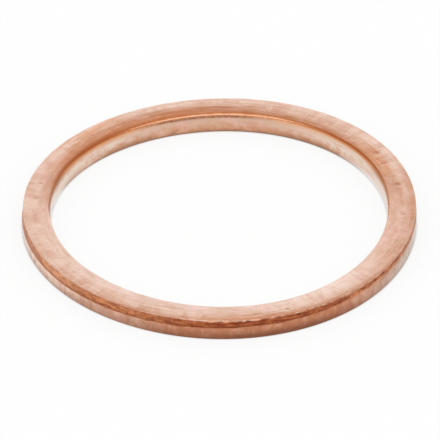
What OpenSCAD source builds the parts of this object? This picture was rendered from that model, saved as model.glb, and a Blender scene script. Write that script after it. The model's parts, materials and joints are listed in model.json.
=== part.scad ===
// Flat copper sealing ring for an M33 or G1 screw plug, nominal size 33 x 39 x 2.
// One solid piece. It lies on its flat base, with the ring's axis along +Z
// and the origin on that axis at the base.
// All sizes are in millimetres.

/* [Ring] */
// Diameter of the bore that the plug's thread passes through
bore_d = 33.3; // [10:0.1:60]
// Width of the ring from the bore to the rim
ring_w = 2.8; // [2:0.1:8]
// Thickness from the base to the land on the top face
ring_t = 2.1; // [1.2:0.1:4]

/* [Top face] */
// Width of the flat land that seals, half way between bore and rim
land_w = 0.8; // [0.2:0.1:1]
// How far the face falls from the land to the bore and to the rim
face_fall = 0.05; // [0.01:0.01:0.1]

/* [Edges] */
// Radius of the edge between the bore and the top face
bore_edge_r = 0.15; // [0.05:0.01:0.2]
// Radius of both edges of the base
base_edge_r = 0.12; // [0.05:0.01:0.2]

/* [Sheared band] */
// Height of the band below the top face where the punched rim tore
shear_h = 0.66; // [0.4:0.02:0.8]
// How far the torn band leans in from the rim at its top
shear_in = 0.05; // [0.01:0.01:0.1]

/* [Hidden] */

bore_r = bore_d / 2;
rim_r = bore_r + ring_w;
land_r = bore_r + ring_w / 2;

// Facets of a full turn, and of an edge's small circle
$fn = 180;
edge_fn = 48;

// Extra radius that lets an edge's circle cross its two sides, not just touch them
crossing = 0.0001;

// The section's corners, anticlockwise from the foot of the bore, each as
// [distance from the axis, height above the base, radius of its edge].
// Punching leaves the rim's top edge sharp, so its radius is 0.
SECTION = [
    [bore_r, 0, base_edge_r],
    [rim_r, 0, base_edge_r],
    [rim_r, ring_t - shear_h, 0],
    [rim_r - shear_in, ring_t - face_fall, 0],
    [land_r + land_w / 2, ring_t, 0],
    [land_r - land_w / 2, ring_t, 0],
    [bore_r, ring_t - face_fall, bore_edge_r]
];

function spot(corner) = [corner[0], corner[1]];
function toward(a, b) = (spot(b) - spot(a)) / norm(spot(b) - spot(a));
function before(i) = SECTION[(i + len(SECTION) - 1) % len(SECTION)];
function after(i) = SECTION[(i + 1) % len(SECTION)];

// Half the angle between the two sides that meet at corner i
function half_angle(i) =
    acos(toward(SECTION[i], before(i)) * toward(SECTION[i], after(i))) / 2;

// Where the rounded edge at corner i meets the side towards the corner next to it
function tangent_point(i, neighbour) =
    spot(SECTION[i]) + toward(SECTION[i], neighbour) * SECTION[i][2] / tan(half_angle(i));

// Centre of the circle that rounds corner i
function edge_centre(i) =
    let (middle = toward(SECTION[i], before(i)) + toward(SECTION[i], after(i)))
    spot(SECTION[i]) + middle / norm(middle) * SECTION[i][2] / sin(half_angle(i));

// The points that corner i gives to the outline: two where it is rounded, or itself
function outline_points(i) = SECTION[i][2] > 0
    ? [tangent_point(i, before(i)), tangent_point(i, after(i))]
    : [spot(SECTION[i])];

module section() {
    polygon([for (i = [0 : len(SECTION) - 1]) each outline_points(i)]);
    for (i = [0 : len(SECTION) - 1])
        if (SECTION[i][2] > 0)
            translate(edge_centre(i))
                circle(r = SECTION[i][2] + crossing, $fn = edge_fn);
}

module sealing_ring() {
    color([0.87, 0.68, 0.58])
        rotate_extrude()
            section();
}

sealing_ring();
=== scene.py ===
import json
import math

import bpy
import numpy as np
from mathutils import Matrix, Vector, noise


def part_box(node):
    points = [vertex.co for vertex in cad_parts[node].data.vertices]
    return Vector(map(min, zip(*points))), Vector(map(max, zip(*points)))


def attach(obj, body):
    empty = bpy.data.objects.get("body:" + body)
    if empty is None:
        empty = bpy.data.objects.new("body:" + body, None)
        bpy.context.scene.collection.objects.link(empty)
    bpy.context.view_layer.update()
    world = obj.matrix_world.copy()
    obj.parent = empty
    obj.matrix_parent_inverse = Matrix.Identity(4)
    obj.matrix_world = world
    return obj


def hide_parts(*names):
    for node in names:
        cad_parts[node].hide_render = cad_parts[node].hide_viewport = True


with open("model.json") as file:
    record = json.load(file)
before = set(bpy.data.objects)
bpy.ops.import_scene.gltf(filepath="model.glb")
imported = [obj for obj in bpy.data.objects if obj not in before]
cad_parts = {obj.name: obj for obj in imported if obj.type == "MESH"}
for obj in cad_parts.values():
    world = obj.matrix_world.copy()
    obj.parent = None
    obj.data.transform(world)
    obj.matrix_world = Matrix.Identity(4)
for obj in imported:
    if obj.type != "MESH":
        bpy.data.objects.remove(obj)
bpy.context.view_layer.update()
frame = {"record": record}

MM = 0.001

# The photograph's framing. It shows no perspective, so the camera has none either.
IMAGE_WIDTH = 440
PIXELS_PER_MM = 10.142
RING_CENTRE_PIXEL = (220.6, 226.8)
CAMERA_ELEVATION = math.radians(34.58)
CAMERA_ROLL = math.radians(0.39)
CAMERA_DISTANCE = 0.3

# The ring's section: the radius of the base's edges, the height of the torn band and how
# far it leans in, and the radius of the lip between it and the top face
BASE_EDGE_R = 0.05 * MM
SHEAR_H = 0.81 * MM
SHEAR_IN = 0.10 * MM
LIP_R = 0.04 * MM

# The top face is a low dome across its width: how steep it is at its inner end, in
# degrees, and where its top is, from its inner end (0) to its outer end (1)
DOME_TILT = 5
DOME_TOP = 0.66

# The bore's top edge: a wide curve that turns down to a tilt in degrees, then a tight one.
# It is sharp at the front of the ring and worn at the back.
SHARP_EDGE = {"wide_r": 0.5 * MM, "wide_tilt": 7, "tight_r": 0.09 * MM}
WORN_EDGE = {"wide_r": 1.1 * MM, "wide_tilt": 20, "tight_r": 0.23 * MM}

# How many steps the mesh has round the ring, and along each stretch of the section
STEPS_ROUND = 1000
SECTION_STEPS = {
    "base": 4,
    "foot": 6,
    "wall": 10,
    "torn": 16,
    "lip": 5,
    "face": 26,
    "worn": 6,
    "bore_edge": 8,
    "bore": 8,
    "bore_foot": 4,
}

# How far the ring is from a true circle: three low lobes, and where one of them stands out
LOBE = 0.165 * MM
LOBE_AT = math.radians(47.5)

# How much the bore's edge sags and rises in two waves round the ring, and where it sags most
SAG = 0.025 * MM
SAG_AT = math.radians(120)

# The torn band's foot dips on the left and rises on the right, and wanders on its way
BAND_DIP = 0.30 * MM
BAND_RISE = 0.20 * MM
BAND_WANDER = 0.06 * MM

# How much less the band leans in where it is upright, and the span across the ring, from
# the bore (0) to the rim (1), over which the top face takes that up
BAND_UPRIGHT = 0.07 * MM
UPRIGHT_ACROSS = (0.66, 0.96)

# The torn metal is set back from the wall and rough. It begins at the band's foot, and is
# full from this share of the band's height up.
TEAR_SET_BACK = 0.03 * MM
TEAR_DEPTH = 0.045 * MM
TEAR_FULL = 0.07

# The burr on the rim's top edge: how far it stands out and up where the band is dark, how
# much of its outward part there is elsewhere, and how much higher its flecks stand
BURR_OUT = 0.035 * MM
BURR_UP = 0.025 * MM
BURR_ELSEWHERE = 0.3
FLECKS_UP = 0.06 * MM

# How uneven the top face is
FACE_WAVES = 0.006 * MM

# The noise in the ring's shape and its marks: its size round the ring, its size up or
# across the section where it changes there, its octaves and its seed
RING_NOISE = {
    "wander": (1.1 * MM, 1.1 * MM, 4, 1),
    "tear": (0.8 * MM, 0.22 * MM, 4, 2),
    "burr": (0.7 * MM, 0.7 * MM, 4, 3),
    "waves": (2.2 * MM, 1.2 * MM, 3, 4),
    "clumps": (0.75 * MM, 0.75 * MM, 2, 5),
}

# Each octave of that noise is finer than the one before by this factor, and weaker by the
# factor to this power. A seed of 1 moves the noise this far along x, y and z.
OCTAVE_FINER = 2.0
OCTAVE_WEAKER = 0.7
SEED_MOVES = (17.3, -9.1, 5.7)

# Dents in the top face: angle, place from bore (0) to rim (1), radius and depth
DENTS = [
    (31.5, 0.51, 0.32 * MM, 0.022 * MM),
    (25.6, 0.44, 0.28 * MM, 0.015 * MM),
    (13.1, 0.50, 0.29 * MM, 0.022 * MM),
    (356.4, 0.55, 0.18 * MM, 0.014 * MM),
    (173.4, 0.52, 0.17 * MM, 0.010 * MM),
    (165.2, 0.55, 0.16 * MM, 0.020 * MM),
    (280.4, 0.72, 0.16 * MM, 0.010 * MM),
    (290.5, 0.67, 0.22 * MM, 0.024 * MM),
]
DEEPEST_DENT = max(depth for _, _, _, depth in DENTS)

# Patches round the ring, as middle and half width in degrees, and a strength where it is
# less than 1. Each gives the strength of a mark, of a change of shape, or of both.
ROUND_PATCHES = {
    # The rim's wall: pale with a painted reflection, painted shade above a paler painted foot,
    # brown with painted shade, and darkest along its foot with painted shade
    "pale_wall": [(196, 36)],
    "painted_light_and_shade_wall": [(352, 38)],
    "dark_wall": [(271, 30), (290, 34)],
    "dark_foot": [(286, 22)],
    # The torn band: dark, nearly upright, torn on into the top face, and with bright flecks that
    # stand up on the burr and are painted highlights
    "dark_band": [(280, 38), (194, 13, 0.25)],
    "upright": [(45, 150)],
    "ragged_top": [(293, 26), (322, 26, 0.5)],
    "flecks": [(272, 16)],
    # The bore's top edge: worn away, orange with a painted warm reflection, brown on down into the
    # bore, dark with painted shade, and with a thin line that is dark, painted shade, below one
    # that is bright, a painted highlight
    "worn_away": [(110, 150)],
    "worn": [(60, 70), (129, 51)],
    "brown_edge": [(146, 44), (53, 24, 0.6), (12, 30)],
    "dark_edge": [(169, 17), (12, 18, 0.75)],
    "dark_line": [(96, 28)],
    "bright_line": [(92, 46)],
    # The bore near its foot: brown, and pale with a painted reflection
    "brown_bore": [(124, 15, 0.8), (151, 9, 0.5), (60, 14, 0.7)],
    "clear_bore": [(168, 14), (10, 40)],
}

# A patch has its full strength out to this share of its half width, and fades from there
PATCH_FULL = 0.4

# Patches of the top face: middle and half width in degrees, then the places from bore (0)
# to rim (1) that each reaches from and to
FACE_PATCHES = {
    "scuffed": [
        (192, 60, 0.42, 1.20),
        (154, 18, 0.52, 0.84),
        (90, 46, 0.66, 0.84),
        (40, 38, 0.58, 1.20),
        (60, 30, 0.33, 0.70),
        (306, 30, 0.15, 0.80),
        (252, 22, 0.60, 0.88),
    ],
    "scratched": [
        (40, 12, 0.10, 0.50),
        (29, 8, 0.25, 0.90),
    ],
    "stained": [
        (8, 24, 0.80, 1.20),
        (8, 9, 0.44, 0.58),
    ],
    # Painted reflection: paler
    "pale_face": [
        (224, 64, -0.20, 0.50),
    ],
    # Painted warm reflection
    "warm_face": [
        (30, 15, 0.10, 0.60),
        (124, 38, -0.20, 0.42),
        (143, 20, 0.20, 0.62),
        (134, 18, 0.50, 0.92),
        (276, 26, 0.78, 1.20),
    ],
}

# Across the ring, such a patch fades over this much on either side of each of its ends
ACROSS_FADE = 0.1

# Sides of the ring, each from where it begins to where it is full, as the cosine of the
# angle round the ring: the right, the climb of the band's dark line there, the left, where
# the cosine is counted to the left, and both sides together
RIGHT_SIDE = (0.1, 0.5)
LINE_CLIMBS = (0.3, 0.95)
LEFT_SIDE = (-0.4, 0.5)
BOTH_SIDES = (0.2, 0.95)

# The dark line along the torn band, in shares of the band's height: its own height, its
# climb and its width
LINE_UP = 0.12
LINE_CLIMB = 0.63
LINE_WIDTH = 0.20

# How much clumps on the right lower, widen and darken that line, the range of the clumps
# that counts for its width, and the range that its darkness keeps to
CLUMP_DROP = 0.10
CLUMP_WIDTH = 0.25
CLUMP_DARK = 2.2
CLUMP_RANGE = (-0.4, 0.8)
LINE_RANGE = (0.15, 1.8)

# How much of the tear shows on the lip, how fast it goes on into the top face with the
# noise, how much of it shows there at most, and where that begins and is full across
TORN_LIP = 0.3
RAGGED_GAIN = 2.5
RAGGED_MOST = 0.75
RAGGED_ACROSS = (0.91, 0.95)

# How fast the bright flecks, painted highlights, come in with the burr, and where they begin and
# are full across the face, from the bore (0) to the rim (1), and up the torn band, from 0 to 1
FLECKS_GAIN = 4
FLECKS_ACROSS = (0.93, 0.96)
FLECKS_UP_BAND = (0.75, 0.92)

# Where the marks of the bore's edge are full and where they end, from the bore (0) to the rim (1):
# orange, a painted warm reflection, which ends further out on the left, and dark, painted shade.
# Down in the bore, the dark ends at the first of two heights and is full at the second.
WORN_ACROSS = (0.08, 0.17)
WORN_WIDER = 0.13
DARK_EDGE_ACROSS = (0.05, 0.12)
DARK_EDGE_UP = (1.1 * MM, 1.7 * MM)

# The thin lines on the tight curve of the bore's edge, painted shade and a painted highlight, in
# shares of the way in along it: where the dark one begins and is full, and where the bright one is
# full and ends
DARK_LINE_IN = (0.55, 0.85)
BRIGHT_LINE_IN = (0.45, 0.65)

# The marks at the feet of the wall, which are painted shade, and of the bore: the height that they
# are strongest at, and how far they reach from it
FEET_UP = 0.30 * MM
FEET_REACH = 0.28 * MM

# Colours of the top face, among them painted reflections
FACE = {
    "pink": (0.89, 0.62, 0.54),
    "tan": (0.82, 0.59, 0.46),
    "pale": (0.88, 0.70, 0.63),
    "warm": (0.93, 0.54, 0.35),
    "bright stripe": (0.96, 0.77, 0.68),
    "dark stripe": (0.72, 0.44, 0.31),
    "dark line": (0.74, 0.43, 0.31),
    "speck": (0.70, 0.40, 0.27),
    "mottle": (0.74, 0.51, 0.37),
    "scuff": (0.99, 0.81, 0.72),
    "scratch": (0.62, 0.29, 0.16),
    "stain": (0.66, 0.33, 0.19),
    # Painted shade in the dents
    "dent": (0.46, 0.24, 0.15),
}

# Colours of the bore, with its painted reflection at the sides and its painted shade low down
BORE = {
    "pink": (0.76, 0.47, 0.37),
    "tan": (0.68, 0.44, 0.31),
    "side": (0.82, 0.65, 0.54),
    "dark stripe": (0.62, 0.36, 0.25),
    "low": (0.62, 0.28, 0.15),
    "foot": (0.32, 0.17, 0.11),
    "brown": (0.34, 0.17, 0.09),
    "clear": (0.93, 0.87, 0.83),
}

# Colours of the bore's top edge: a painted warm reflection, darker painted shade at the sides, and
# a painted highlight and painted shade in its thin lines
EDGE = {
    "orange": (0.94, 0.49, 0.27),
    "dark orange": (0.78, 0.34, 0.14),
    "orange side": (0.62, 0.26, 0.115),
    "edge_brown": (0.80, 0.40, 0.21),
    "edge brown side": (0.63, 0.28, 0.13),
    "dark": (0.38, 0.15, 0.065),
    "bright line": (1.0, 0.59, 0.41),
    "dark line": (0.24, 0.09, 0.045),
}

# Colours of the rim's sheared wall, with its painted reflection and its painted shade
WALL = {
    "pink": (0.66, 0.37, 0.27),
    "tan": (0.61, 0.36, 0.24),
    "pale": (0.95, 0.70, 0.56),
    "painted pale foot": (0.74, 0.60, 0.51),
    "painted shade top": (0.45, 0.27, 0.17),
    "brown": (0.53, 0.21, 0.11),
    "dark score": (0.45, 0.19, 0.11),
    "bright score": (0.84, 0.52, 0.40),
    "dark mottle": (0.42, 0.17, 0.10),
    "bright mottle": (0.86, 0.56, 0.42),
    "foot": (0.24, 0.09, 0.05),
    "darkest foot": (0.16, 0.055, 0.03),
}

# Colours of the torn band, first as pairs for the gaps between its strands and for the strands,
# and of the flecks on its top edge, which are painted highlights
BAND = {
    "plain": ((0.44, 0.15, 0.065), (0.72, 0.29, 0.135)),
    "light": ((0.56, 0.25, 0.125), (0.82, 0.39, 0.205)),
    "dark": ((0.25, 0.055, 0.022), (0.51, 0.16, 0.065)),
    "speck": (0.19, 0.045, 0.018),
    "line": (0.24, 0.06, 0.02),
    "fleck": (0.95, 0.51, 0.33),
}

# The metal's roughness: the range that its lines give it, and where it is scuffed and torn
ROUGH_LINES = (0.11, 0.19)
ROUGH_SCUFF = 0.26
ROUGH_TEAR = 0.45

# How deep the metal's relief is, and the shares of its grain and its scratches in it
RELIEF = 0.02 * MM
GRAIN_RELIEF = 0.15
SCRATCH_RELIEF = 0.4

# How strong each octave of the metal's textures is, next to the one before
TEXTURE_ROUGHNESS = 0.6

WHITE = (1.0, 1.0, 1.0)

# The floor: half its width, its matt colour, and the share of plain white over it where
# the camera or a mirror sees it
FLOOR_HALF = 3.0
FLOOR_MATT = (0.97, 0.97, 0.97)
FLOOR_WHITE = 0.85

# The contact shadow: how near the ring it is, how bright the white still is there, the
# span of open space, as a share, over which the white falls to that, and the samples
CONTACT = 0.2 * MM
CONTACT_SHADE = 0.67
CONTACT_OPEN = (0.3, 1.0)
CONTACT_SAMPLES = 16

# The studio that the metal mirrors: white near the horizon all round, a dim warm ceiling,
# and a round white lamp overhead. Each row has an angle above the horizon and a colour.
STUDIO = [
    (0, WHITE),
    (26, WHITE),
    (31, (1.00, 0.96, 0.94)),
    (34, (0.92, 0.82, 0.77)),
    (37, (0.72, 0.54, 0.43)),
    (43, (0.62, 0.38, 0.25)),
    (58, (0.58, 0.34, 0.21)),
    (68, WHITE),
]


def ring_sizes(packed):
    """Bore radius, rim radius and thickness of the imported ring."""
    _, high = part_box("sealing_ring")
    bore = next(m for m in packed["record"]["mounts"] if m["name"] == "bore")
    return bore["dims"]["r_mm"] * MM, high.x, high.z


def spread(steps):
    """Even shares from 0 up to, but not at, 1."""
    return np.arange(steps) / steps


def line(start, end, steps):
    """Points from start towards end, without the end."""
    share = spread(steps)[:, None]
    return np.array(start) * (1 - share) + np.array(end) * share


def arc(centre, radius, first, last, steps):
    """Points round a circle from the first angle towards the last, without the last."""
    angle = np.radians(first + (last - first) * spread(steps))
    return np.stack([centre[0] + radius * np.cos(angle), centre[1] + radius * np.sin(angle)], 1)


def smooth_step(value, low, high):
    """0 below low and 1 above high, with an even curve between."""
    share = np.clip((value - low) / (high - low), 0, 1)
    return share * share * (3 - 2 * share)


def section(bore_r, rim_r, thickness, wide_r, wide_tilt, tight_r):
    """The section's points, anticlockwise from the base's inner end, and each one's stretch."""
    steps = SECTION_STEPS
    top_r = rim_r - SHEAR_IN
    shear_z = thickness - SHEAR_H
    tilt = math.radians(DOME_TILT)
    turned = math.radians(wide_tilt)

    # The dome and the two curves of the bore's edge meet without a crease
    tight_at = bore_r + tight_r
    wide_at = tight_at + (wide_r - tight_r) * math.sin(turned)
    face_in = wide_at - wide_r * math.sin(tilt)
    face_out = top_r - LIP_R
    dome_fall = math.tan(tilt) * (face_out - face_in) / (2 * DOME_TOP)
    wide_z = thickness - dome_fall * DOME_TOP ** 2 - wide_r * math.cos(tilt)
    tight_z = wide_z + (wide_r - tight_r) * math.cos(turned)

    place = 1 - spread(steps["face"])
    face_r = face_in + (face_out - face_in) * place
    face = np.stack([face_r, thickness - dome_fall * (place - DOME_TOP) ** 2], 1)
    lip_z = face[0, 1] - LIP_R

    foot_centre = (rim_r - BASE_EDGE_R, BASE_EDGE_R)
    bore_foot_centre = (bore_r + BASE_EDGE_R, BASE_EDGE_R)
    stretches = {
        "base": line((bore_r + BASE_EDGE_R, 0), (rim_r - BASE_EDGE_R, 0), steps["base"]),
        "foot": arc(foot_centre, BASE_EDGE_R, -90, 0, steps["foot"]),
        "wall": line((rim_r, BASE_EDGE_R), (rim_r, shear_z), steps["wall"]),
        "torn": line((rim_r, shear_z), (top_r, lip_z), steps["torn"]),
        "lip": arc((face_out, lip_z), LIP_R, 0, 90, steps["lip"]),
        "face": face,
        "worn": arc((wide_at, wide_z), wide_r, 90 + DOME_TILT, 90 + wide_tilt, steps["worn"]),
        "bore_edge": arc((tight_at, tight_z), tight_r, 90 + wide_tilt, 180, steps["bore_edge"]),
        "bore": line((bore_r, tight_z), (bore_r, BASE_EDGE_R), steps["bore"]),
        "bore_foot": arc(bore_foot_centre, BASE_EDGE_R, 180, 270, steps["bore_foot"]),
    }
    names = [name for name in stretches for _ in range(steps[name])]
    return np.concatenate(list(stretches.values())), np.array(names)


def fractal(x, y, z, octaves, seed):
    """Smooth noise of about -1 to 1 at each point of three grids."""
    move = Vector([length * seed for length in SEED_MOVES])
    x, y, z = np.broadcast_arrays(x, y, z)
    points = [Vector(point) + move for point in zip(x.ravel(), y.ravel(), z.ravel())]
    values = [noise.fractal(point, OCTAVE_WEAKER, OCTAVE_FINER, octaves) for point in points]
    return np.array(values).reshape(x.shape)


def round_patch(degrees, middle, half, strength=1):
    """The strength near an angle round the ring, fading to 0 at half away on either side."""
    away = np.abs((degrees - middle + 180) % 360 - 180)
    return strength * (1 - smooth_step(away, half * PATCH_FULL, half))


class RingShape:
    """The ring's vertices as grids, round the ring by along the section.

    r and z are their distances from the axis and their heights, which the methods change.
    What depends on the place along the section alone is taken from the worn section: names
    has each vertex's stretch, out and up are its distance and height, place is 0 at the bore
    and 1 at the rim, and up_wall and up_band are shares of the way up the wall and the torn
    band.
    """

    def __init__(self, bore_r, rim_r, thickness):
        self.bore_r = bore_r
        self.rim_r = rim_r
        self.thickness = thickness
        self.turn = 2 * math.pi * spread(STEPS_ROUND)[:, None]
        self.degrees = np.degrees(self.turn)
        self.cosine = np.cos(self.turn)
        self.sine = np.sin(self.turn)

        # The section goes from the sharp one at the front to the worn one at the back
        sharp, self.names = section(bore_r, rim_r, thickness, **SHARP_EDGE)
        worn, _ = section(bore_r, rim_r, thickness, **WORN_EDGE)
        share = self.patches("worn_away")
        self.r = sharp[:, 0] * (1 - share) + worn[:, 0] * share
        self.z = sharp[:, 1] * (1 - share) + worn[:, 1] * share

        self.out, self.up = worn.T
        self.place = (self.out - bore_r) / (rim_r - bore_r)
        shear_z = thickness - SHEAR_H
        band_top = self.up[self.on("lip")][0]
        up_wall = (self.up - BASE_EDGE_R) / (shear_z - BASE_EDGE_R)
        up_band = (self.up - shear_z) / (band_top - shear_z)
        self.up_wall = np.where(self.on("wall"), up_wall, 0)
        self.up_band = np.where(self.on("torn"), up_band, 0)

        # How much each vertex is torn, has of the burr, and is sunk in a dent
        self.torn = np.clip(self.up_band / TEAR_FULL, 0, 1)
        self.burr = self.wobble("burr")
        self.dented = np.zeros_like(self.r)

    def on(self, *stretches):
        """True on these stretches of the section."""
        return np.isin(self.names, stretches)

    def patches(self, name):
        """The strength of the patches of this name round the ring."""
        return np.max([round_patch(self.degrees, *patch) for patch in ROUND_PATCHES[name]], 0)

    def face_patches(self, name):
        """1 on the patches of this name across the ring, and 0 off them."""
        found = np.zeros((len(self.degrees), len(self.place)))
        for middle, half, first, last in FACE_PATCHES[name]:
            begun = smooth_step(self.place, first - ACROSS_FADE, first + ACROSS_FADE)
            ended = smooth_step(self.place, last - ACROSS_FADE, last + ACROSS_FADE)
            across = begun * (1 - ended)
            found = np.maximum(found, round_patch(self.degrees, middle, half) * across)
        return found

    def wobble(self, kind, along=0.0):
        """This kind of noise round the ring, and along a second length if one is given."""
        size, size_along, octaves, seed = RING_NOISE[kind]
        x = self.rim_r * self.cosine / size
        y = self.rim_r * self.sine / size
        return fractal(x, y, along / size_along, octaves, seed)

    def sway_band(self):
        """The torn band's foot goes up and down, and takes the wall with it."""
        sway = np.where(self.cosine < 0, BAND_DIP, BAND_RISE) * self.cosine
        wander = BAND_WANDER * self.wobble("wander")
        moved = self.up_wall + np.where(self.on("torn"), 1 - self.up_band, 0)
        self.z = self.z + (sway + wander) * moved

    def stand_band_upright(self):
        """The band leans in less at the back and right, and takes the lip out with it."""
        across = smooth_step(self.place, *UPRIGHT_ACROSS)
        moved = np.where(self.on("face", "lip"), across, self.up_band)
        self.r = self.r + BAND_UPRIGHT * moved * self.patches("upright")

    def tear_band(self):
        """The torn metal is set back from the wall, and rough."""
        tear = self.wobble("tear", self.z)
        self.r = self.r - self.torn * (TEAR_SET_BACK - TEAR_DEPTH * tear)

    def raise_burr(self):
        """The burr runs along the rim's top edge, with flecks that stand up at the front."""
        dark = self.patches("dark_band")
        out = BURR_OUT * self.burr * (BURR_ELSEWHERE + (1 - BURR_ELSEWHERE) * dark)
        up = BURR_UP * dark + FLECKS_UP * self.patches("flecks")
        near_lip = np.where(self.on("lip"), 1, self.up_band ** 4)
        self.r = self.r + near_lip * out
        self.z = self.z + near_lip * np.clip(self.burr, 0, 1) * up

    def sag_bore_edge(self):
        """The bore's edge sags and rises, the rim's a quarter as much, and the base not at all."""
        near = (self.place / DOME_TOP - 1) ** 2 * (self.z / self.thickness) ** 2
        self.z = self.z - SAG * np.cos(2 * (self.turn - SAG_AT)) * near

    def wave_face(self):
        """The top face is not quite even."""
        self.z = self.z + self.on("face") * FACE_WAVES * self.wobble("waves", self.r)

    def dent_face(self):
        """The top face has its dents."""
        x = self.r * self.cosine
        y = self.r * self.sine
        for angle, way_across, size, depth in DENTS:
            dent_r = self.bore_r + way_across * (self.rim_r - self.bore_r)
            dent_x = dent_r * math.cos(math.radians(angle))
            dent_y = dent_r * math.sin(math.radians(angle))
            away = ((x - dent_x) ** 2 + (y - dent_y) ** 2) / size ** 2
            dent = np.exp(-away) * self.on("face")
            self.z = self.z - depth * dent
            self.dented = np.maximum(self.dented, dent * depth / DEEPEST_DENT)

    def bend_out_of_round(self):
        """Both outlines have their lobes."""
        self.r = self.r + LOBE * np.cos(3 * (self.turn - LOBE_AT))


def band_marks(ring):
    """Marks of the torn band, and of the tear and the flecks on the edge above it."""
    right = smooth_step(ring.cosine, *RIGHT_SIDE)
    climbed = smooth_step(ring.cosine, *LINE_CLIMBS)
    clumps = ring.wobble("clumps")
    line_at = LINE_UP + LINE_CLIMB * climbed - CLUMP_DROP * clumps * right
    line_width = LINE_WIDTH + CLUMP_WIDTH * np.clip(clumps, *CLUMP_RANGE) * right
    line_share = np.clip(1 + CLUMP_DARK * clumps * right, *LINE_RANGE)
    band_line = line_share * np.exp(-((ring.up_band - line_at) / line_width) ** 2)

    # The tear shows on the lip too, where no flecks and no climbing line are. It goes on
    # into the face where the burr is missing, and where the line has clumps.
    flecks = ring.patches("flecks")
    torn_lip = ring.on("lip") * TORN_LIP * (1 - np.maximum(flecks, climbed))
    gaps = np.maximum(-RAGGED_GAIN * ring.burr, RAGGED_GAIN * clumps * right)
    ragged = np.where(ring.on("face", "lip"), smooth_step(ring.place, *RAGGED_ACROSS), 0)
    ragged = ragged * np.clip(gaps, 0, RAGGED_MOST) * ring.patches("ragged_top")

    # The flecks, painted highlights, are on the lip, and reach a little way into the face and down
    # the band
    in_face = smooth_step(ring.place, *FLECKS_ACROSS)
    at_rim = np.where(ring.on("face"), in_face, smooth_step(ring.up_band, *FLECKS_UP_BAND))
    at_rim = np.where(ring.on("lip"), 1, at_rim)
    return {
        "torn": np.maximum(np.maximum(ring.torn, torn_lip), ragged),
        "band_line": band_line * ring.on("torn"),
        "dark_band": ring.patches("dark_band"),
        "flecks": at_rim * flecks * np.clip(FLECKS_GAIN * ring.burr, 0, 1),
    }


def edge_marks(ring):
    """Marks of the bore's top edge, which carry its painted reflection, shade and highlight."""
    wider = WORN_WIDER * smooth_step(-ring.cosine, *LEFT_SIDE)
    worn = 1 - smooth_step(ring.place, WORN_ACROSS[0], WORN_ACROSS[1] + wider)
    worn = np.where(ring.on("face", "worn", "bore_edge"), worn, 0)

    # The dark edge, painted shade, goes on down into the bore, but isn't at its foot
    dark_edge = 1 - smooth_step(ring.place, *DARK_EDGE_ACROSS)
    dark_edge = np.where(ring.on("bore"), smooth_step(ring.up, *DARK_EDGE_UP), dark_edge)
    dark_edge = np.where(ring.on("base", "bore_foot"), 0, dark_edge)

    # The thin lines, painted shade and a painted highlight, follow the tight curve. The dark one
    # takes in the bore's first vertex.
    curve_top = ring.out[ring.on("bore_edge")][0]
    way_in = (curve_top - ring.out) / (curve_top - ring.bore_r)
    dark_line = np.where(ring.on("bore_edge"), smooth_step(way_in, *DARK_LINE_IN), 0)
    dark_line[list(ring.names).index("bore")] = 1
    bright_line = (1 - smooth_step(way_in, *BRIGHT_LINE_IN)) * ring.on("bore_edge")
    return {
        "worn": worn * ring.patches("worn"),
        "brown_edge": ring.on("bore", "bore_edge") * ring.patches("brown_edge"),
        "dark_edge": dark_edge * ring.patches("dark_edge"),
        "dark_line": dark_line * ring.patches("dark_line"),
        "bright_line": bright_line * ring.patches("bright_line"),
    }


def side_marks(ring):
    """Marks of the rim's wall, of the bore, and of the left and right sides of the ring."""
    low = np.exp(-((ring.up - FEET_UP) / FEET_REACH) ** 2)
    in_bore = ring.on("bore", "bore_foot")
    return {
        "wall": ring.on("wall", "foot", "torn"),
        "pale_wall": ring.patches("pale_wall"),
        "painted_light_and_shade_wall": ring.patches("painted_light_and_shade_wall"),
        "dark_wall": ring.patches("dark_wall"),
        "dark_foot": low * ring.on("wall", "foot") * ring.patches("dark_foot"),
        "bore": in_bore,
        "brown_bore": low * in_bore * ring.patches("brown_bore"),
        "clear_bore": ring.patches("clear_bore"),
        "sideways": smooth_step(np.abs(ring.cosine), *BOTH_SIDES),
    }


def face_marks(ring):
    """Marks of the top face. The stains go on over the lip."""
    marks = {"dented": ring.dented}
    for name in FACE_PATCHES:
        reach = ring.on("face", "lip") if name == "stained" else ring.on("face")
        marks[name] = ring.face_patches(name) * reach
    return marks


def build_ring(bore_r, rim_r, thickness):
    """The ring's mesh, with its marks as attributes that the material reads."""
    shape = RingShape(bore_r, rim_r, thickness)
    shape.sway_band()
    shape.stand_band_upright()
    shape.tear_band()
    shape.raise_burr()
    shape.sag_bore_edge()
    shape.wave_face()
    shape.dent_face()
    shape.bend_out_of_round()

    points = np.stack([shape.r * shape.cosine, shape.r * shape.sine, shape.z], -1)
    rounds, along = shape.r.shape
    here = np.arange(rounds * along).reshape(rounds, along)
    after = np.roll(here, -1, 0)
    quads = np.stack([here, after, np.roll(after, -1, 1), np.roll(here, -1, 1)], -1)
    mesh = bpy.data.meshes.new("copper_ring")
    mesh.from_pydata(points.reshape(-1, 3).tolist(), [], quads.reshape(-1, 4).tolist())
    for find_marks in (band_marks, edge_marks, side_marks, face_marks):
        for name, values in find_marks(shape).items():
            whole = np.broadcast_to(values, shape.r.shape).astype(np.float32)
            mesh.attributes.new(name, "FLOAT", "POINT").data.foreach_set("value", whole.ravel())
    mesh.shade_smooth()
    ring = bpy.data.objects.new("copper_ring", mesh)
    bpy.context.scene.collection.objects.link(ring)
    return ring


def opaque(colour):
    """A colour for a node: a socket as it is, or red, green and blue with an alpha of 1."""
    return colour if isinstance(colour, bpy.types.NodeSocket) else (*colour, 1)


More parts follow.
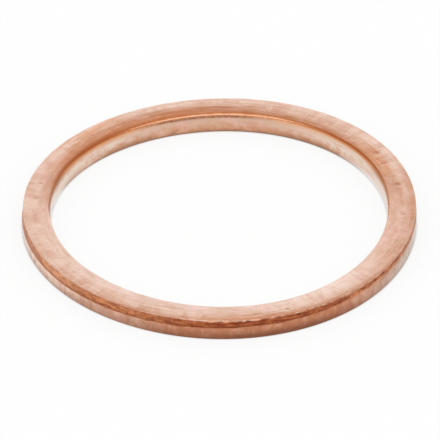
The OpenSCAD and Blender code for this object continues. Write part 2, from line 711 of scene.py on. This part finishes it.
class Shader:
    """The node tree of a material or a world, emptied, and short calls that add nodes."""

    def __init__(self, owner):
        owner.use_nodes = True
        self.tree = owner.node_tree
        self.tree.nodes.clear()

    def node(self, kind, inputs=None, **settings):
        """Adds a node, with its settings, and with its inputs set or linked."""
        made = self.tree.nodes.new(kind)
        for name, value in settings.items():
            setattr(made, name, value)
        for name, value in (inputs or {}).items():
            if isinstance(value, bpy.types.NodeSocket):
                self.tree.links.new(value, made.inputs[name])
            else:
                made.inputs[name].default_value = value
        return made

    def calculate(self, operation, *values):
        inputs = dict(enumerate(values))
        return self.node("ShaderNodeMath", inputs, operation=operation).outputs[0]

    def add(self, first, second):
        return self.calculate("ADD", first, second)

    def multiply(self, first, second):
        return self.calculate("MULTIPLY", first, second)

    def remap(self, value, span, results=(0.0, 1.0)):
        """Goes from the first result to the second as the value crosses the span."""
        inputs = {0: value, 1: span[0], 2: span[1], 3: results[0], 4: results[1]}
        return self.node("ShaderNodeMapRange", inputs).outputs[0]

    def mix(self, share, first, second):
        """The first colour, with a share of the second laid over it."""
        inputs = {0: share, 6: opaque(first), 7: opaque(second)}
        return self.node("ShaderNodeMix", inputs, data_type="RGBA").outputs[2]

    def mix_values(self, share, first, second):
        inputs = {0: share, 2: first, 3: second}
        return self.node("ShaderNodeMix", inputs, data_type="FLOAT").outputs[0]

    def mix_shaders(self, share, first, second):
        return self.node("ShaderNodeMixShader", {0: share, 1: first, 2: second}).outputs[0]


class CopperShader(Shader):
    """The copper's nodes, and the places and textures that its layers share.

    Places and heights are in millimetres.
    """

    def __init__(self, material):
        super().__init__(material)
        seen = self.node("ShaderNodeTexCoord").outputs["Object"]
        self.here = self.vector("SCALE", {0: seen, "Scale": 1 / MM})["Vector"]
        x, y, self.height = self.node("ShaderNodeSeparateXYZ", {0: self.here}).outputs

        # How far out a place is, and the cosine and sine of its angle round the ring
        flat = self.node("ShaderNodeCombineXYZ", {0: x, 1: y}).outputs[0]
        self.radius = self.vector("LENGTH", {0: flat})["Value"]
        way_out = self.vector("NORMALIZE", {0: flat})["Vector"]
        self.cosine, self.sine, _ = self.node("ShaderNodeSeparateXYZ", {0: way_out}).outputs
        self.sideways = self.mark("sideways")

        # Fine lines and wider stripes left by rolling, and rubs and cuts across them
        self.lines = self.streaks(waves_round=3.5, waves_across=3.0)
        self.stripes = self.streaks(waves_round=8.0, waves_across=1.6)
        self.rubs = self.streaks(waves_round=17.0, waves_across=0.35)
        self.cuts = self.streaks(waves_round=60.0, waves_across=0.4)

        # Clouds, from wide to fine
        self.blotches = self.cloud(waves_level=0.6, waves_up=0.6, detail=4.0)
        self.mottle = self.cloud(waves_level=1.4, waves_up=1.4, detail=4.0)
        self.specks = self.cloud(waves_level=3.2, waves_up=3.2, detail=3.0)
        self.grain = self.cloud(waves_level=7.0, waves_up=7.0, detail=2.0)

        # Scores that run up the wall, and strands that run along the torn band
        self.scores = self.cloud(waves_level=1.5, waves_up=0.3, detail=4.0)
        self.strands = self.cloud(waves_level=0.9, waves_up=4.0, detail=4.0)

        self.tone = self.remap(self.blotches, (0.40, 0.60))
        cut = self.remap(self.cuts, (0.43, 0.34))
        self.scratches = self.multiply(cut, self.mark("scratched"))

    def vector(self, operation, inputs):
        return self.node("ShaderNodeVectorMath", inputs, operation=operation).outputs

    def cloud(self, waves_level, waves_up, detail):
        """Noise with so many waves a millimetre on the level, and so many upwards."""
        waves = (waves_level, waves_level, waves_up)
        place = self.vector("MULTIPLY", {0: self.here, 1: waves})["Vector"]
        inputs = {"Vector": place, "Scale": 1.0, "Detail": detail, "Roughness": TEXTURE_ROUGHNESS}
        return self.node("ShaderNodeTexNoise", inputs).outputs[0]

    def streaks(self, waves_round, waves_across):
        """Noise with so many waves a radian round the ring, and a millimetre across it."""
        round_and_out = {
            0: self.multiply(self.cosine, waves_round),
            1: self.multiply(self.sine, waves_round),
            2: self.multiply(self.radius, waves_across),
        }
        inputs = {
            "Vector": self.node("ShaderNodeCombineXYZ", round_and_out).outputs[0],
            "W": self.multiply(self.height, waves_across),
            "Scale": 1.0,
            "Detail": 3.0,
            "Roughness": TEXTURE_ROUGHNESS,
        }
        return self.node("ShaderNodeTexNoise", inputs, noise_dimensions="4D").outputs[0]

    def mark(self, name):
        """One of the mesh's marks."""
        return self.node("ShaderNodeAttribute", attribute_name=name).outputs["Fac"]

    def tint(self, under, colour, mark, strength=1.0):
        """Lays a colour over another where its mark is."""
        return self.mix(self.multiply(self.mark(mark), strength), under, colour)

    def cover(self, under, colour, texture, span, shares, mark=None):
        """Lays a colour over another where its mark is, or everywhere if it has none.

        The colour's share goes from the first to the second as the texture crosses the span.
        """
        share = self.remap(texture, span, shares)
        if mark:
            share = self.multiply(self.mark(mark), share)
        return self.mix(share, under, colour)


def face_colour(copper):
    """The top face: blotches of pink and tan, streaked, scuffed, scratched and stained, with
    painted reflections that make it pale or warm in patches.
    """
    colour = copper.mix(copper.tone, FACE["pink"], FACE["tan"])
    # Painted reflections: paler, and warmer, in patches
    colour = copper.tint(colour, FACE["pale"], "pale_face", 0.6)
    colour = copper.tint(colour, FACE["warm"], "warm_face", 0.65)
    colour = copper.cover(colour, FACE["bright stripe"], copper.stripes, (0.52, 0.64), (0.0, 0.6))
    colour = copper.cover(colour, FACE["dark stripe"], copper.stripes, (0.48, 0.35), (0.0, 0.55))
    colour = copper.cover(colour, FACE["dark line"], copper.lines, (0.30, 0.48), (0.35, 0.0))
    colour = copper.cover(colour, FACE["speck"], copper.specks, (0.58, 0.75), (0.0, 0.4))
    colour = copper.cover(colour, FACE["mottle"], copper.mottle, (0.50, 0.70), (0.0, 0.5))
    colour = copper.cover(colour, FACE["scuff"], copper.rubs, (0.40, 0.56), (0.2, 1.0), "scuffed")
    colour = copper.mix(copper.multiply(copper.scratches, 0.45), colour, FACE["scratch"])
    return copper.tint(colour, FACE["stain"], "stained", 0.5)


def bore_colour(copper):
    """The bore: pale at the sides of the ring with a painted reflection, and elsewhere brown low
    down with painted shade.
    """
    colour = copper.mix(copper.tone, BORE["pink"], BORE["tan"])
    # Painted reflection: paler at the sides of the ring
    colour = copper.cover(colour, BORE["side"], copper.sideways, (0.0, 0.7), (0.0, 1.0))
    colour = copper.cover(colour, BORE["dark stripe"], copper.stripes, (0.50, 0.36), (0.0, 0.4))

    # The brown, painted shade, ends at an uneven height, and is weaker at the sides
    uneven = copper.add(copper.height, copper.remap(copper.mottle, (0.35, 0.65), (-0.35, 0.35)))
    low = copper.remap(uneven, (0.35, 1.15), (0.8, 0.0))
    low = copper.multiply(low, copper.remap(copper.sideways, (0.7, 1.0), (1.0, 0.3)))
    colour = copper.mix(low, colour, BORE["low"])

    # So does the darker brown along the foot, which is painted shade too
    uneven = copper.multiply(copper.height, copper.remap(copper.mottle, (0.3, 0.7), (0.4, 1.6)))
    foot = copper.remap(uneven, (0.10, 0.40), (0.8, 0.0))
    foot = copper.multiply(foot, copper.remap(copper.sideways, (0.7, 1.0), (1.0, 0.2)))
    colour = copper.mix(foot, colour, BORE["foot"])

    brown_spans = (0.38, 0.56), (0.25, 0.8)
    colour = copper.cover(colour, BORE["brown"], copper.mottle, *brown_spans, "brown_bore")
    # Painted reflection: pale low down at the sides
    painted_pale_spans = (0.6, 0.25), (0.0, 0.9)
    return copper.cover(colour, BORE["clear"], copper.height, *painted_pale_spans, "clear_bore")


def wall_colour(copper):
    """The rim's sheared wall: pale with a painted reflection, painted shade over a paler painted
    foot, or brown with painted shade in turn, and darker near its foot with painted shade.
    """
    colour = copper.mix(copper.tone, WALL["pink"], WALL["tan"])
    colour = copper.tint(colour, WALL["pale"], "pale_wall")
    up = copper.remap(copper.height, (0.3, 1.3))
    colour = copper.tint(colour, copper.mix(up, WALL["painted pale foot"], WALL["painted shade top"]), "painted_light_and_shade_wall")
    colour = copper.tint(colour, WALL["brown"], "dark_wall")
    colour = copper.cover(colour, WALL["dark score"], copper.scores, (0.36, 0.52), (0.4, 0.0))
    colour = copper.cover(colour, WALL["bright score"], copper.scores, (0.52, 0.66), (0.0, 0.3))
    colour = copper.cover(colour, WALL["dark mottle"], copper.mottle, (0.50, 0.36), (0.0, 0.4))
    colour = copper.cover(colour, WALL["bright mottle"], copper.mottle, (0.52, 0.66), (0.0, 0.25))
    # Painted shade: darker towards the foot, and most where the wall is brown
    foot = copper.remap(copper.height, (0.1, 1.05), (0.85, 0.0))
    foot = copper.multiply(foot, copper.remap(copper.mark("dark_wall"), (0.0, 1.0), (0.6, 1.0)))
    colour = copper.mix(foot, colour, WALL["foot"])
    return copper.tint(colour, WALL["darkest foot"], "dark_foot", 0.45)


def band_colour(copper):
    """The torn band: rough strands, light or dark in turn, with specks and a dark line."""
    strand = copper.remap(copper.strands, (0.40, 0.60))
    colour = copper.mix(strand, *BAND["plain"])
    # Where the wall has its painted reflection, the band is painted lighter too
    colour = copper.tint(colour, copper.mix(strand, *BAND["light"]), "pale_wall")
    colour = copper.tint(colour, copper.mix(strand, *BAND["dark"]), "dark_band")
    colour = copper.cover(colour, BAND["speck"], copper.specks, (0.52, 0.66), (0.0, 0.5))
    return copper.tint(colour, BAND["line"], "band_line", 0.5)


def over_bore_edge(copper, colour):
    """Lays the colours of the bore's top edge over those of the face and the bore, with their
    painted reflection, shade and highlight.
    """
    # Painted warm reflection on the worn edge, painted darker at the sides as painted shade
    orange_share = copper.remap(copper.mottle, (0.35, 0.60))
    orange = copper.mix(orange_share, EDGE["dark orange"], EDGE["orange"])
    orange = copper.mix(copper.sideways, orange, EDGE["orange side"])
    colour = copper.tint(colour, orange, "worn")

    # Brown near the top of the bore, painted darker at the sides as painted shade
    uneven = copper.add(copper.height, copper.remap(copper.mottle, (0.3, 0.7), (-0.12, 0.12)))
    edge_brown = copper.mix(copper.sideways, EDGE["edge_brown"], EDGE["edge brown side"])
    colour = copper.cover(colour, edge_brown, uneven, (1.2, 1.85), (0.0, 0.9), "brown_edge")
    # Painted shade: the dark edge
    colour = copper.tint(colour, EDGE["dark"], "dark_edge", 0.75)

    # Specks break up the bright line, a painted highlight, and weaken the dark one, painted shade
    bright_line = copper.mark("bright_line")
    broken = copper.add(bright_line, copper.remap(copper.specks, (0.3, 0.7), (-0.4, 0.4)))
    broken = copper.remap(broken, (0.45, 0.75), (0.0, 0.85))
    bright = copper.multiply(copper.remap(bright_line, (0.0, 0.2)), broken)
    colour = copper.mix(bright, colour, EDGE["bright line"])
    dark_spans = (0.35, 0.60), (0.95, 0.6)
    return copper.cover(colour, EDGE["dark line"], copper.specks, *dark_spans, "dark_line")


def roughness(copper):
    """The metal's roughness, which changes with its lines, scuffs and tear."""
    rough = copper.remap(copper.lines, (0.3, 0.7), ROUGH_LINES)
    rough = copper.mix_values(copper.mark("scuffed"), rough, ROUGH_SCUFF)
    return copper.mix_values(copper.mark("torn"), rough, ROUGH_TEAR)


def relief(copper):
    """Lines and grain all over, scores on the wall and the band, and scratches in the face."""
    height = copper.add(copper.lines, copper.multiply(copper.grain, GRAIN_RELIEF))
    height = copper.add(height, copper.multiply(copper.scores, copper.mark("wall")))
    scratches = copper.multiply(copper.scratches, SCRATCH_RELIEF)
    height = copper.calculate("SUBTRACT", height, scratches)
    return copper.node("ShaderNodeBump", {"Height": height, "Distance": RELIEF}).outputs[0]


def copper_material():
    """Bare copper, with each part's colours laid over the last."""
    material = bpy.data.materials.new("copper")
    copper = CopperShader(material)
    colour = copper.tint(face_colour(copper), bore_colour(copper), "bore")
    colour = over_bore_edge(copper, colour)
    colour = copper.tint(colour, wall_colour(copper), "wall")
    colour = copper.tint(colour, band_colour(copper), "torn")
    # Painted highlights: the bright flecks on the burr
    colour = copper.tint(colour, BAND["fleck"], "flecks")
    # Painted shade: darker in the dents
    colour = copper.tint(colour, FACE["dent"], "dented", 0.4)
    inputs = {
        "Base Color": colour,
        "Metallic": 1.0,
        "Roughness": roughness(copper),
        "Normal": relief(copper),
    }
    metal = copper.node("ShaderNodeBsdfPrincipled", inputs)
    copper.node("ShaderNodeOutputMaterial", {"Surface": metal.outputs[0]})
    return material


def floor_material():
    """A matt white that is partly white by itself, so that the shadow on it is faint."""
    material = bpy.data.materials.new("floor_white")
    floor = Shader(material)
    matt = floor.node("ShaderNodeBsdfDiffuse", {"Color": opaque(FLOOR_MATT)}).outputs[0]
    near = {"Distance": CONTACT}
    clear = floor.node("ShaderNodeAmbientOcclusion", near, samples=CONTACT_SAMPLES).outputs["AO"]
    glow = floor.remap(clear, CONTACT_OPEN, (CONTACT_SHADE, 1.0))
    white = floor.node("ShaderNodeEmission", {"Color": opaque(WHITE), "Strength": glow})
    path = floor.node("ShaderNodeLightPath").outputs
    seen = floor.calculate("MAXIMUM", path["Is Glossy Ray"], path["Is Transmission Ray"])
    seen = floor.calculate("MAXIMUM", path["Is Camera Ray"], seen)
    mixed = floor.mix_shaders(floor.multiply(seen, FLOOR_WHITE), matt, white.outputs[0])
    floor.node("ShaderNodeOutputMaterial", {"Surface": mixed})
    return material


def build_floor():
    """A wide square at the height of the ring's base."""
    corners = [(-1, -1), (1, -1), (1, 1), (-1, 1)]
    points = [(x * FLOOR_HALF, y * FLOOR_HALF, 0) for x, y in corners]
    mesh = bpy.data.meshes.new("floor")
    mesh.from_pydata(points, [], [(0, 1, 2, 3)])
    mesh.materials.append(floor_material())
    floor = bpy.data.objects.new("floor", mesh)
    bpy.context.scene.collection.objects.link(floor)
    return floor


def build_studio():
    """Plain white for the camera and for matt surfaces, and the studio for the metal."""
    world = bpy.data.worlds.new("studio")
    bpy.context.scene.world = world
    studio = Shader(world)
    way = studio.node("ShaderNodeTexCoord").outputs["Generated"]
    up = studio.node("ShaderNodeSeparateXYZ", {0: way}).outputs["Z"]
    angle = studio.calculate("ARCSINE", up)
    ramp = studio.node("ShaderNodeValToRGB", {0: studio.remap(angle, (0.0, math.pi / 2))})
    steps = ramp.color_ramp.elements
    while len(steps) < len(STUDIO):
        steps.new(0.5)
    for step, (degrees, colour) in zip(steps, STUDIO):
        step.position = degrees / 90
        step.color = opaque(colour)
    mirrored = studio.node("ShaderNodeBackground", {"Color": ramp.outputs[0], "Strength": 1.0})
    white = studio.node("ShaderNodeBackground", {"Color": opaque(WHITE), "Strength": 1.0})
    path = studio.node("ShaderNodeLightPath").outputs
    plain = studio.calculate("MAXIMUM", path["Is Camera Ray"], path["Is Diffuse Ray"])
    mixed = studio.mix_shaders(plain, mirrored.outputs[0], white.outputs[0])
    studio.node("ShaderNodeOutputWorld", {"Surface": mixed})


def build_camera():
    """A camera that sees the ring at the photograph's angle, size and place."""
    data = bpy.data.cameras.new("camera")
    data.type = "ORTHO"
    data.ortho_scale = IMAGE_WIDTH / PIXELS_PER_MM * MM
    camera = bpy.data.objects.new("camera", data)
    bpy.context.scene.collection.objects.link(camera)

    back = Vector((0, -math.cos(CAMERA_ELEVATION), math.sin(CAMERA_ELEVATION)))
    level = Vector((1, 0, 0))
    over = back.cross(level)
    right = level * math.cos(CAMERA_ROLL) - over * math.sin(CAMERA_ROLL)
    up = over * math.cos(CAMERA_ROLL) + level * math.sin(CAMERA_ROLL)
    pixel = MM / PIXELS_PER_MM
    middle = IMAGE_WIDTH / 2
    centre_x, centre_y = RING_CENTRE_PIXEL
    aim = (right * (middle - centre_x) - up * (middle - centre_y)) * pixel
    turned = Matrix((right, up, back)).transposed().to_4x4()
    camera.matrix_world = Matrix.Translation(aim + back * CAMERA_DISTANCE) @ turned
    bpy.context.scene.camera = camera


bpy.context.scene.view_settings.view_transform = "Standard"

build_camera()
ring = build_ring(*ring_sizes(frame))
ring.data.materials.append(copper_material())
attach(ring, "root")
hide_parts("sealing_ring")

floor = build_floor()
build_studio()
